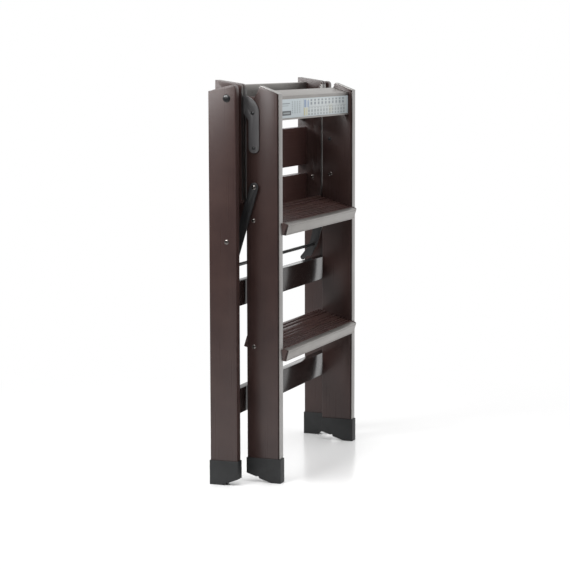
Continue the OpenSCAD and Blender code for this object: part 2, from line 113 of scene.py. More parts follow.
def name_new(name):
    """Names the primitive just added and applies its place."""
    piece = bpy.context.object
    piece.name = piece.data.name = name
    bpy.ops.object.transform_apply(location=True, rotation=True, scale=True)
    return piece


def edit(piece):
    """Opens one piece for editing, with everything in it selected."""
    select_only(piece)
    bpy.ops.object.mode_set(mode="EDIT")
    bpy.ops.mesh.select_all(action="SELECT")


def close():
    bpy.ops.object.mode_set(mode="OBJECT")


def pick(piece, kind, test):
    """Selects only the corners, edges or faces whose middle, in mm, passes the test."""
    bpy.ops.mesh.select_all(action="DESELECT")
    bpy.ops.mesh.select_mode(type=kind)
    mesh = bmesh.from_edit_mesh(piece.data)
    if kind == "FACE":
        for face in mesh.faces:
            face.select_set(bool(test(face.calc_center_median() / MM, face.normal)))
    elif kind == "EDGE":
        for edge in mesh.edges:
            a, b = edge.verts[0].co / MM, edge.verts[1].co / MM
            edge.select_set(bool(test((a + b) / 2, (b - a).normalized())))
    else:
        for corner in mesh.verts:
            corner.select_set(bool(test(corner.co / MM, corner.normal)))
    bmesh.update_edit_mesh(piece.data)


def block(name, low, high):
    """A block between two corners, to be cut to shape."""
    deselect()
    low, high = Vector(low) * MM, Vector(high) * MM
    bpy.ops.mesh.primitive_cube_add(size=1, location=(low + high) / 2)
    bpy.context.object.scale = high - low
    return name_new(name)


def cut(piece, point, away):
    """Saws the piece along a plane and caps it. What lies on the 'away' side goes."""
    edit(piece)
    bpy.ops.mesh.bisect(plane_co=Vector(point) * MM, plane_no=Vector(away).normalized(),
                        use_fill=True, clear_outer=True)
    close()


def score(piece, point, across):
    """Adds a loop of edges round the piece where a plane crosses it."""
    edit(piece)
    bpy.ops.mesh.bisect(plane_co=Vector(point) * MM, plane_no=across)
    close()


def push(by):
    """Draws the selected faces out, or sinks them, by a step in millimetres."""
    bpy.ops.mesh.extrude_region_move(TRANSFORM_OT_translate={"value": Vector(by) * MM})


def mend(piece):
    """Merges doubles and points every face outwards."""
    edit(piece)
    bpy.ops.mesh.remove_doubles(threshold=0.01 * MM)
    bpy.ops.mesh.normals_make_consistent(inside=False)
    close()


def soften(piece, width, steps=2, angle=30):
    """Breaks the sharp edges as drawing, folding or moulding leaves them, and shades smooth."""
    select_only(piece)
    edge = piece.modifiers.new("broken edges", "BEVEL")
    edge.width = width * MM
    edge.segments = steps
    edge.limit_method = "ANGLE"
    edge.angle_limit = math.radians(angle)
    bpy.ops.object.modifier_apply(modifier=edge.name)
    bpy.ops.object.shade_smooth_by_angle(angle=SMOOTH)
    return piece


def folded(name, x0, x1, path, thick, bend):
    """A sheet folded along the width. Its path is (depth, height); the metal is on its right."""
    deselect()
    width = (x1 - x0) * MM
    y, z = path[0]
    middle = Vector(((x0 + x1) / 2, y, z)) * MM
    bpy.ops.mesh.primitive_plane_add(size=width, location=middle + Vector((0, width / 2, 0)))
    piece = name_new(name)
    edit(piece)
    pick(piece, "VERT", lambda p, n: p.y > y + 1)
    bpy.ops.mesh.delete(type="VERT")
    bpy.ops.mesh.select_all(action="SELECT")
    for (y0, z0), (y1, z1) in zip(path, path[1:]):
        push((0, y1 - y0, z1 - z0))
    close()
    run = Vector((0, path[1][0] - path[0][0], path[1][1] - path[0][1]))
    right = Vector((0, run.z, -run.y))
    wall = piece.modifiers.new("wall", "SOLIDIFY")
    wall.thickness = thick * MM
    wall.offset = 1 if piece.data.polygons[0].normal.dot(right) > 0 else -1
    wall.use_even_offset = True
    bpy.ops.object.modifier_apply(modifier=wall.name)
    mend(piece)
    return soften(piece, bend, 3)


def disc(name, x0, x1, y, z, radius, sides=ROUND):
    """A round part along the width."""
    deselect()
    bpy.ops.mesh.primitive_cylinder_add(
        vertices=sides, radius=radius * MM, depth=abs(x1 - x0) * MM,
        location=Vector(((x0 + x1) / 2, y, z)) * MM, rotation=(0, math.pi / 2, 0))
    return name_new(name)


DOME_STEPS = 5         # rings of a domed head
DOME_EYE = 0.08        # radius of its last ring, as a share of the head's
RIM_SHARE = 0.3        # upright part of a head, as a share of its height
SHANK_RADIUS = 2.5


def button(name, x, out, y, z, radius, height, shank=0):
    """A domed head standing on the plane x towards 'out', with a shank behind it."""
    rim = height * RIM_SHARE
    head = disc(name, x, x + out * rim, y, z, radius)
    edit(head)
    pick(head, "FACE", lambda p, n: n.x * out > FACING)
    for i in range(DOME_STEPS):
        a0, a1 = (math.pi / 2 * k / DOME_STEPS for k in (i, i + 1))
        push((out * (height - rim) * (math.sin(a1) - math.sin(a0)), 0, 0))
        share = max(math.cos(a1), DOME_EYE) / math.cos(a0)
        bpy.ops.transform.resize(value=(1, share, share))
    if shank:
        pick(head, "FACE", lambda p, n: n.x * out < -FACING)
        bpy.ops.mesh.inset(thickness=(radius - SHANK_RADIUS) * MM)
        push((-out * shank, 0, 0))
    close()
    return soften(head, 0.25, 2, 40)


def joined(name, *parts):
    """Makes one piece of several."""
    deselect()
    for part in parts:
        part.select_set(True)
    bpy.context.view_layer.objects.active = parts[0]
    bpy.ops.object.join()
    parts[0].name = parts[0].data.name = name
    return parts[0]


def copied(piece, name):
    """The same piece again with its own mesh."""
    twin = piece.copy()
    twin.data = piece.data.copy()
    twin.name = twin.data.name = name
    bpy.context.scene.collection.objects.link(twin)
    return twin


def mirrored(piece, name):
    """The piece for the other side of the ladder."""
    twin = copied(piece, name)
    twin.data.transform(Matrix.Scale(-1, 4, (1, 0, 0)))
    twin.data.flip_normals()
    return twin


def dressed(name, node, width, steps):
    """A copy of a CAD node with its flat faces made whole and its edges broken."""
    piece = copied(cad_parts[node], name)
    for key in list(piece.keys()):
        del piece[key]
    piece.parent = None
    edit(piece)
    bpy.ops.mesh.remove_doubles(threshold=0.02 * MM)
    bpy.ops.mesh.customdata_custom_splitnormals_clear()
    bpy.ops.mesh.select_all(action="SELECT")
    bpy.ops.mesh.dissolve_limited(angle_limit=math.radians(1))
    close()
    return soften(piece, width, steps)


made = []


def keep(piece, body, slot, *replaced):
    """Sets the body that a piece moves with, its finish and the CAD nodes it stands for."""
    made.append((piece, body, slot, replaced))


def pair(piece, body, slot, node):
    """A left-hand piece and its mirror image."""
    keep(piece, body, slot, node + "_left")
    keep(mirrored(piece, piece.name.replace("left", "right")), body, slot, node + "_right")


def both_sides(name, parts, body, slot, node):
    """Left-hand fixings and their mirror images, as one piece."""
    others = [mirrored(part, part.name + "_far") for part in parts]
    keep(joined(name, *parts, *others), body, slot, node)


# ---------------------------------------------------------------- front rails
# A front rail is sawn off square to the floor of the open ladder. Its top rises
# to a crown, breaks over it and falls away behind.
TOE_IN, CROWN_IN = 22, 43.5        # the sole's front corner and the crown, behind the front
BREAK = Vector((0, 3.1, -4.3))     # the short slope behind the crown
FALL = Vector((0, 30.4, -56.4))    # the way the long slope runs on from it
OVERLENGTH = 4                     # stock above the crown, which the slopes take off

crown = Vector((0, front_y + CROWN_IN, top_z - TRIM_IN))
rail = block("front_rail_left", rail_low, rail_high + Vector((0, 0, OVERLENGTH)))
cut(rail, (0, front_y + TOE_IN, rail_low.z), (0, math.sin(LEAN_FRONT), -math.cos(LEAN_FRONT)))
cut(rail, crown, (0, -math.sin(TOP_CHAMFER), math.cos(TOP_CHAMFER)))
cut(rail, crown + BREAK, (0, -FALL.z, FALL.y))
cut(rail, crown, (0, -BREAK.z, BREAK.y))
soften(rail, DRAWN_EDGE, 3)

# The neck between rail and edge strip is narrower than both: a shadow groove.
NECK_IN = 2.7                      # how far its sides are set in
NECK_FRONT, NECK_BACK = -0.2, 5    # it laps into the strip and ends inside the rail
NECK_TOP = 2                       # it stops this far under the strip's shoulder
shoulder_z = top_z - CROWN_IN * math.tan(TOP_CHAMFER)
neck = block("neck", (strip_low.x + NECK_IN, front_y + TRIM + NECK_FRONT, strip_low.z),
             (strip_high.x - NECK_IN, front_y + NECK_BACK, shoulder_z - NECK_TOP))
pair(joined("front_rail_left", rail, neck), "front_frame", "rail_brown", "front_rail")

# The light edge strip runs up the front and over the sloped top.
STRIP_TAIL = (4.5, 4)              # its end, bent back and down behind the crown
strip = folded("edge_strip_left", strip_low.x, strip_high.x,
               [(front_y, strip_low.z), (front_y, shoulder_z), (crown.y, top_z),
                (crown.y + STRIP_TAIL[0], top_z - STRIP_TAIL[1])], TRIM, 0.3)
pair(strip, "front_frame", "edge_aluminium", "edge_strip")

# ---------------------------------------------------------------- treads
# Each part is made level, with the nosing's front top edge at the origin.
TREAD_DEPTH, TREAD_THICK, NOSE_DEPTH = 103.0, 24.6, 13.0
NOSE_OUT = 12.8                    # how far a nosing stands in front of the rails
# Place, from the nosing, and width of each groove.
GROOVES = [(6.3, 3), (13.5, 3), (20.7, 3), (27.9, 3), (41.4, 1.6), (50.4, 1.6), (67.5, 4),
           (78.3, 4)]
GROOVE_DEPTH = 2.4
RIM_WIDTH, RIM_HEIGHT = 5, 3       # the rim round the hollow underside
NOSE_LINES = ((-3.4, -2.6), (-22.2, -21.4))    # from the nosing's top edge
CAP_OUT = 11.5                     # how far an end cap reaches over the rail's front
CAP_PROUD, CAP_RISE = 0.6, 0.6     # its front and top stand this far over the nosing
CAP_SWEEP = 1.8                    # its corner ends this far behind the nosing
CAP_RAKE = (0, -16, 1.2)           # the way its front faces
CAP_ROOT, CAP_HOLD = 9, 6          # its length behind the nosing, and its hold past the front
CLEAR = 0.1                        # clearance to the rail

tread_front = front_y - NOSE_OUT


def edge_height(level):
    """Height of a nosing's front top edge once it is in place."""
    return corners(level + "_nosing")[1].z - NOSE_DEPTH * math.sin(LEAN_FRONT)


def leaned(piece, height):
    """Turns a tread part, made level at the origin, to its place between the front rails."""
    place = Matrix.Translation(Vector((0, tread_front, height)) * MM)
    piece.data.transform(place @ Matrix.Rotation(LEAN_FRONT, 4, "X"))
    return piece


def tread(name, height):
    """A grooved tread behind its nosing, hollow underneath within a rim."""
    base = block(name, (-inner, NOSE_DEPTH, -TREAD_THICK), (inner, TREAD_DEPTH, 0))
    for start, width in GROOVES:
        for y in (NOSE_DEPTH + start, NOSE_DEPTH + start + width):
            score(base, (0, y, 0), (0, 1, 0))
    edit(base)
    for start, width in GROOVES:
        pick(base, "FACE", lambda p, n: n.z > FACING and
             NOSE_DEPTH + start < p.y < NOSE_DEPTH + start + width)
        push((0, 0, -GROOVE_DEPTH))
    pick(base, "FACE", lambda p, n: n.z < -FACING)
    bpy.ops.mesh.dissolve_faces()
    bpy.ops.mesh.inset(thickness=RIM_WIDTH * MM)
    push((0, 0, RIM_HEIGHT))
    close()
    mend(base)
    soften(base, 0.35)
    return leaned(base, height)


def nosing(name, height):
    """A plain bar along a tread's front, with a fine line near its top and bottom."""
    bar = block(name, (nose_left, 0, -TREAD_THICK), (-nose_left, NOSE_DEPTH, 0))
    for line in NOSE_LINES:
        for z in line:
            score(bar, (0, 0, z), (0, 0, 1))
    edit(bar)
    pick(bar, "FACE", lambda p, n: n.y < -FACING and
         any(z0 < p.z < z1 for z0, z1 in NOSE_LINES))
    push((0, LINE_DEPTH, 0))
    close()
    soften(bar, 0.5)
    return leaned(bar, height)


def cap(name, height):
    """A moulded end whose corner runs back from the nosing to the front of the rail."""
    outside = -inner - CAP_OUT
    end = block(name, (outside, -1, -TREAD_THICK), (nose_left, NOSE_DEPTH + CAP_ROOT, CAP_RISE))
    corner = Vector((nose_left - outside, -NOSE_DEPTH - CAP_SWEEP, 0))
    cut(end, (nose_left, -CAP_PROUD, 0), (corner.y, -corner.x, 0))
    cut(end, (0, 0, -TREAD_THICK), CAP_RAKE)
    leaned(end, height)
    shoulder = copied(end, "shoulder")
    cut(end, (0, front_y - CLEAR, 0), (0, 1, 0))
    cut(shoulder, (-inner + CLEAR, 0, 0), (-1, 0, 0))
    cut(shoulder, (0, front_y + CAP_HOLD, 0), (0, 1, 0))
    return soften(joined(name, end, shoulder), 0.5, 3)


for level in ("upper", "lower"):
    edge_z = edge_height(level)
    keep(tread(level + "_tread_top", edge_z), "front_frame", "tread_brown", level + "_tread")
    keep(nosing(level + "_tread_nosing", edge_z), "front_frame", "nosing_aluminium",
         level + "_nosing")
    pair(cap(level + "_end_cap_left", edge_z), "front_frame", "cap_plastic", level + "_cap")

# ---------------------------------------------------------------- header
# A folded channel whose face is set back between two lips.
FACE_IN = 1.4
HEADER_WALL = 2.4
HEADER_TOP = 37.4                  # depth of its sloped top
UNDER_FLANGE, BACK_FLANGE = 12, 7
LOW_LIP, HIGH_LIP = 3.4, 7         # heights of the lips
BROW = 1.5                         # upright edge of the high lip, which then slopes in
LIP_LAP = 0.4                      # how far the lips run into the face
head_low, head_high = corners("header_bar")
face_y, back_y = head_low.y + FACE_IN, head_high.y
brow_z = head_high.z - HEADER_TOP * math.tan(LEAN_FRONT)
header = folded("header_channel", -inner, inner,
                [(face_y + UNDER_FLANGE, head_low.z), (face_y, head_low.z), (face_y, brow_z),
                 (back_y, head_high.z), (back_y, head_high.z - BACK_FLANGE)], HEADER_WALL, 0.5)
low_lip = block("lip", (-inner, head_low.y, head_low.z),
                (inner, face_y + LIP_LAP, head_low.z + LOW_LIP))
high_lip = block("lip", (-inner, head_low.y, brow_z - HIGH_LIP), (inner, face_y + LIP_LAP, brow_z))
cut(high_lip, (0, head_low.y, brow_z - BROW), (0, BROW - HIGH_LIP, -BROW))
soften(low_lip, 0.5, 3)
soften(high_lip, 0.5, 3)
keep(joined("header_channel", header, low_lip, high_lip), "front_frame", "nosing_aluminium",
     "header_bar")

label = soften(block("instruction_panel", *corners("label_plate")), 0.25)
keep(label, "front_frame", "label", "label_plate")

# ---------------------------------------------------------------- plates, boots, stays
# Their outlines are the CAD's; each gets the rounded rim of its way of making.
for name, node, body, slot, rim in (
        ("pressed_hinge_plate_left", "hinge_plate", "front_frame", "black_metal", 0.9),
        ("moulded_front_boot_left", "front_boot", "front_frame", "boot_rubber", 1.4),
        ("moulded_rear_boot_left", "rear_boot", "rear_frame", "boot_rubber", 1.4),
        ("pressed_stay_arm_left", "stay_arm", "stay_arms", "black_metal", 0.6),
        ("pressed_stay_link_left", "stay_link", "stay_links", "black_metal", 0.6)):
    pair(dressed(name, node + "_left", rim, 3), body, slot, node)

# ---------------------------------------------------------------- rear frame
HEEL_IN = 33                       # the sole's back corner, in front of the rail's back
TOP_ROUND = 9                      # radius where a rear rail's front turns into its top
UPPER_HALF = 400                   # a height between a rear rail's ends
FLANGE, CROSS_WALL, CROSS_BEND = 8, 2.2, 1.6

rear = block("rear_rail_side_left", rear_low, rear_high)
cut(rear, (0, rear_high.y - HEEL_IN, rear_low.z),
    (0, -math.sin(LEAN_REAR), -math.cos(LEAN_REAR)))
cut(rear, (0, rear_low.y + TOP_ROUND * (1 + math.sin(TOP_FALL)),
           rear_high.z - TOP_ROUND * (1 - math.cos(TOP_FALL))),
    (0, math.sin(TOP_FALL), math.cos(TOP_FALL)))
edit(rear)
pick(rear, "EDGE", lambda p, along: abs(along.x) > FACING and
     p.y < rear_low.y + 1 and p.z > UPPER_HALF)
bpy.ops.mesh.bevel(offset=TOP_ROUND * MM, segments=8, affect="EDGES")
close()
soften(rear, DRAWN_EDGE, 3)
pair(rear, "rear_frame", "rail_brown", "rear_rail")

for level in ("upper", "lower"):
    low, high = corners(level + "_crossbar")
    bar = folded(level + "_cross_channel", low.x, high.x,
                 [(high.y, low.z + FLANGE), (high.y, low.z), (low.y, low.z), (low.y, high.z),
                  (high.y, high.z), (high.y, high.z - FLANGE)], CROSS_WALL, CROSS_BEND)
    keep(bar, "rear_frame", "crossbar_brown", level + "_crossbar")

# ---------------------------------------------------------------- platform
pair(dressed("platform_side_left", "platform_plate_left", 0.8, 3), "platform", "rail_brown",
     "platform_plate")

# The edge strip laps round onto the inner face of its side.
STRIP_LAP = 3.5
strip = dressed("platform_edge_left", "platform_strip_left", 0.4, 2)
edit(strip)
pick(strip, "VERT", lambda p, n: p.x > plate_high.x - 1)
bpy.ops.transform.translate(value=Vector((STRIP_LAP, 0, 0)) * MM)
close()
pair(strip, "platform", "edge_aluminium", "platform_strip")

SLAT_PITCH = 9                     # least spacing of a slat's grooves
SLAT_START, SLAT_ENDS = 4, 6       # the first groove, and the plain ends together
SLAT_GROOVE, SLAT_SINK = 2.2, 1.3  # a groove's width and depth


def slat(name, node):
    """A platform slat with even grooves across its outer face."""
    low, high = corners(node)
    piece = block(name, low, high)
    span = high.z - low.z - SLAT_ENDS
    count = int(span // SLAT_PITCH)
    starts = [low.z + SLAT_START + i * span / count for i in range(count)]
    for start in starts:
        for z in (start, start + SLAT_GROOVE):
            score(piece, (0, 0, z), (0, 0, 1))
    edit(piece)
    pick(piece, "FACE", lambda p, n: n.y > FACING and any(
        start < p.z < start + SLAT_GROOVE for start in starts))
    push((0, -SLAT_SINK, 0))
    close()
    keep(soften(piece, 0.4), "platform", "tread_brown", node)


for place in ("front", "middle", "rear"):
    slat("platform_slat_" + place, "slat_" + place)

# The platform's own nosing has one fine line under its top edge.
low, high = corners("platform_nosing")
line_low, line_high = high.z - 4.2, high.z - 3.4
front = block("platform_front_nosing", low, high)
for z in (line_high, line_low):
    score(front, (0, 0, z), (0, 0, 1))
edit(front)
pick(front, "FACE", lambda p, n: n.y > FACING and line_low < p.z < line_high)
push((0, -LINE_DEPTH, 0))
close()
keep(soften(front, 0.8, 3), "platform", "nosing_aluminium", "platform_nosing")

# ---------------------------------------------------------------- fixings
# Radius and height of the heads.
SCREW, RIVET, SMALL_RIVET = (4.6, 1.6), (4.2, 1.8), (3.36, 3)
PIN_HEAD, PIN_TAIL, PIVOT_HEAD = (5.2, 1.8), (5.2, 2), (8.5, 3)
PIN_RADIUS, BOSS_RADIUS = 4, 7
PIVOT_RADIUS, SLEEVE_RADIUS = 6, 10
ROD_RADIUS, ROD_SIDES = 3.8, 32
PIN_GAP = 0.3                      # play beside or past a part on a pin
BOSS_LAP = 1.7                     # how far the link's spacer reaches into it
FIXING_IN = 60.5                   # a tread's screws and a plate's rivet, behind the front
CROSS_RIVET_IN = 7                 # a crossbar's rivet, in front of its back

screws = []
screw_y = front_y + FIXING_IN
for level in ("upper", "lower"):
    z = (edge_height(level) + (screw_y - tread_front) * math.tan(LEAN_FRONT)
         - TREAD_THICK / 2 / math.cos(LEAN_FRONT))
    screws.append(button("screw", -outer, -1, screw_y, z, *SCREW, shank=24))
both_sides("tread_fixing_screws", screws, "front_frame", "fastener_steel", "tread_screws")

# Each rivet: behind the front of the rails, and below the main pivot.
plate_x = corners("hinge_plate_left")[0].x
rivets = []
for back, down in ((FIXING_IN, 33), (58, 109)):
    y, z = front_y + back, pin_z - down
    rivets.append(button("rivet", plate_x, -1, y, z, *RIVET, shank=5))
    rivets.append(button("rivet", rail_high.x, 1, y, z, *RIVET))
both_sides("hinge_plate_rivets", rivets, "front_frame", "black_metal", "hinge_rivets")

pivot_end = corners("hinge_pin_left")[1].x - PIVOT_HEAD[1]
shaft = disc("shaft", rear_low.x, pivot_end, pin_y, pin_z, PIVOT_RADIUS)
sleeve = soften(disc("sleeve", rear_high.x, plate_low.x - PIN_GAP, pin_y, pin_z,
                     SLEEVE_RADIUS), 0.6)
head = button("head", rear_low.x, -1, pin_y, pin_z, *PIVOT_HEAD)
foot = button("foot", pivot_end, 1, pin_y, pin_z, *PIVOT_HEAD)
pair(joined("main_pivot_left", shaft, sleeve, head, foot), "rear_frame", "black_metal",
     "hinge_pin")

ARM_BOSS = 4.2                     # spacer between a front rail and a stay arm
y, z = centre("arm_pins")
head_x = corners("arm_pins")[0].x + PIN_HEAD[1]
parts = [disc("shaft", head_x, rail_high.x, y, z, PIN_RADIUS),
         disc("boss", -outer - ARM_BOSS, -outer, y, z, BOSS_RADIUS),
         button("head", head_x, -1, y, z, *PIN_HEAD),
         button("tail", rail_high.x, 1, y, z, *PIN_TAIL)]
both_sides("arm_pivot_pins", parts, "front_frame", "fastener_steel", "arm_pins")

y, z = centre("link_pins")
low, high = corners("stay_link_left")
parts = [disc("shaft", rear_low.x, high.x + PIN_GAP, y, z, PIN_RADIUS),
         disc("boss", rear_high.x, low.x + BOSS_LAP, y, z, BOSS_RADIUS),
         button("head", rear_low.x, -1, y, z, *PIN_HEAD)]
both_sides("link_pivot_pins", parts, "rear_frame", "fastener_steel", "link_pins")

low, high = corners("stay_rod")
rod = disc("cross_rod", low.x, high.x, *centre("stay_rod"), ROD_RADIUS, ROD_SIDES)
keep(soften(rod, 0.4), "stay_arms", "black_metal", "stay_rod")

parts = []
for level in ("upper", "lower"):
    y = corners(level + "_crossbar")[1].y - CROSS_RIVET_IN
    parts.append(button("rivet", rear_high.x, 1, y, centre(level + "_crossbar")[1],
                        *SMALL_RIVET))
both_sides("crossbar_end_rivets", parts, "rear_frame", "fastener_steel", "crossbar_rivets")

# Behind and below the main pivot; flatter heads than the hinge plates' rivets.
y, z = pin_y + 5, pin_z - 201
flat_head, inner_head = 1.2, 1.6
head_x = corners("platform_rivets")[0].x + flat_head
parts = [button("rivet", head_x, -1, y, z, RIVET[0], flat_head, shank=12),
         button("rivet", plate_high.x, 1, y, z, RIVET[0], inner_head)]
both_sides("platform_side_rivets", parts, "platform", "fastener_steel", "platform_rivets")


# ---------------------------------------------------------------- finishes
def linear(code):
    """An sRGB hex colour as linear RGBA."""
    values = [int(code[i:i + 2], 16) / 255 for i in (1, 3, 5)]
    return [v / 12.92 if v <= 0.04045 else ((v + 0.055) / 1.055) ** 2.4 for v in values] + [1]


def add(tree, kind, inputs=None, **settings):
    """One node, with its settings, its values and its links."""
    made_node = tree.nodes.new("ShaderNode" + kind)
    for key, value in settings.items():
        setattr(made_node, key, value)
    for key, value in (inputs or {}).items():
        if isinstance(value, bpy.types.NodeSocket):
            tree.links.new(value, made_node.inputs[key])
        else:
            made_node.inputs[key].default_value = value
    return made_node


def finish(name, **values):
    """A new material with its shader's constant values; returns its tree, shader and place."""
    material = bpy.data.materials.new(name)
    material.use_nodes = True
    tree = material.node_tree
    shader = tree.nodes["Principled BSDF"]
    for key, value in values.items():
        shader.inputs[key].default_value = value
    return material, tree, shader, add(tree, "TexCoord").outputs["Object"]


# The range that nearly all of a noise falls in.
NOISE = {"From Min": 0.3, "From Max": 0.7}
# Sizes in mm. Draw lines and orange peel are really some 0.2 to 0.5 mm wide,
# and are drawn as coarse as they need to show.
DRAW_LINES, ORANGE_PEEL, BRUSH_LINES, FILM_PEEL = 1.6, 0.9, 0.7, 1.2
COAT_CLOUD, METAL_CLOUD, MOULD_CLOUD = 60, 80, 25    # slow changes of tone over a piece
COAT_RELIEF, BRUSH_RELIEF, MOULD_RELIEF, FILM_RELIEF = 0.4, 0.3, 0.4, 0.2
# Patterns are drawn out along a piece, by this much on each axis.
UP, ALONG, EVEN = (1, 1, 120), (120, 1, 1), (1, 1, 1)


def grain(tree, place, size, stretch=EVEN, detail=3.0):
    """Noise whose features are 'size' mm, drawn out along an axis by 'stretch'."""
    scale = [1 / (size * MM * s) for s in stretch]
    mapped = add(tree, "Mapping", {"Vector": place, "Scale": scale})
    return add(tree, "TexNoise", {"Vector": mapped.outputs[0], "Scale": 1.0,
                                  "Detail": detail}).outputs["Fac"]


def skinned(tree, shader, cloud, tones, gloss, rough, rough_range, height, bump, relief):
    """Colour wandering between two tones, roughness following a grain, and a bump."""
    tone = add(tree, "MapRange", {"Value": cloud, "To Min": 0, "To Max": 1, **NOISE})
    colour = add(tree, "Mix", {"Factor": tone.outputs[0], "A": linear(tones[0]),
                               "B": linear(tones[1])}, data_type="RGBA")
    roughness = add(tree, "MapRange", {"Value": gloss, "To Min": rough - rough_range / 2,
                                       "To Max": rough + rough_range / 2, **NOISE})
    normal = add(tree, "Bump", {"Height": height, "Strength": bump, "Distance": relief * MM})
    tree.links.new(colour.outputs["Result"], shader.inputs["Base Color"])
    tree.links.new(roughness.outputs[0], shader.inputs["Roughness"])
    tree.links.new(normal.outputs[0], shader.inputs["Normal"])


def coated(name, tones, rough, stretch, bump, rough_range=0.06):
    """Coated metal: fine orange peel in the coat, faint draw lines under it."""
    material, tree, shader, place = finish(name, IOR=1.45)
    lines = grain(tree, place, DRAW_LINES, stretch)
    peel = grain(tree, place, ORANGE_PEEL)
    height = add(tree, "Math", {0: peel, 1: lines}, operation="ADD").outputs[0]
    skinned(tree, shader, grain(tree, place, COAT_CLOUD), tones, lines, rough, rough_range,
            height, bump, COAT_RELIEF)
    return material


def brushed(name, tones, rough, stretch):
    """Bare metal: fine lines along the extrusion, soft metal sheen."""
    material, tree, shader, place = finish(name, Metallic=1.0)
    lines = grain(tree, place, BRUSH_LINES, stretch, 2.0)
    skinned(tree, shader, grain(tree, place, METAL_CLOUD), tones, lines, rough, 0.12,
            lines, 0.12, BRUSH_RELIEF)
    return material


def moulded(name, tones, rough, size):
    """Moulded plastic or rubber with the spark-eroded grain of its mould."""
    material, tree, shader, place = finish(name, IOR=1.5)
    pits = grain(tree, place, size)
    skinned(tree, shader, grain(tree, place, MOULD_CLOUD), tones, pits, rough, 0.16,
            pits, 0.25, MOULD_RELIEF)
    return material


FINISHES = {
    # Deep red-brown; broad soft highlights with faint streaks up the rail.
    "rail_brown": coated("satin brown powder coat", ("#322321", "#3a2a27"), 0.30, UP, 0.03),
    # Almost black until it mirrors a light, then a sharp bright band along the bar.
    "crossbar_brown": coated("glossy brown enamel", ("#1c1413", "#221917"), 0.14, ALONG, 0.02,
                             0.03),
    # A little lighter than the rails, with a sheen that breaks up along the grooves.
    "tread_brown": coated("semi-gloss brown coat", ("#382724", "#452f2c"), 0.30, ALONG, 0.05,
                          0.1),
    # Mid grey metal whose highlights are drawn out up the strip.
    "edge_aluminium": brushed("drawn anodised aluminium", ("#8b8987", "#979593"), 0.34, UP),
    # Paler and softer, with its lines across the ladder.
    "nosing_aluminium": brushed("satin anodised aluminium", ("#8f8c89", "#9a9794"), 0.42,
                                ALONG),
    # Dull brown, redder than the rails, with a fine even grain and no clear highlight.
    "cap_plastic": moulded("brown moulded nylon", ("#3a2421", "#452e2a"), 0.45, 0.8),
    # Neutral black with a soft even gloss.
    "black_metal": coated("black enamelled steel", ("#1f1f20", "#262627"), 0.3, EVEN, 0.05),
    # Small bright glints on dark domed heads.
    "fastener_steel": brushed("dark plated steel", ("#6e6966", "#7a7572"), 0.18, EVEN),
    # Charcoal that stays dark and matt in any light.
    "boot_rubber": moulded("black rubber", ("#161718", "#1e1f20"), 0.6, 1.0),
}


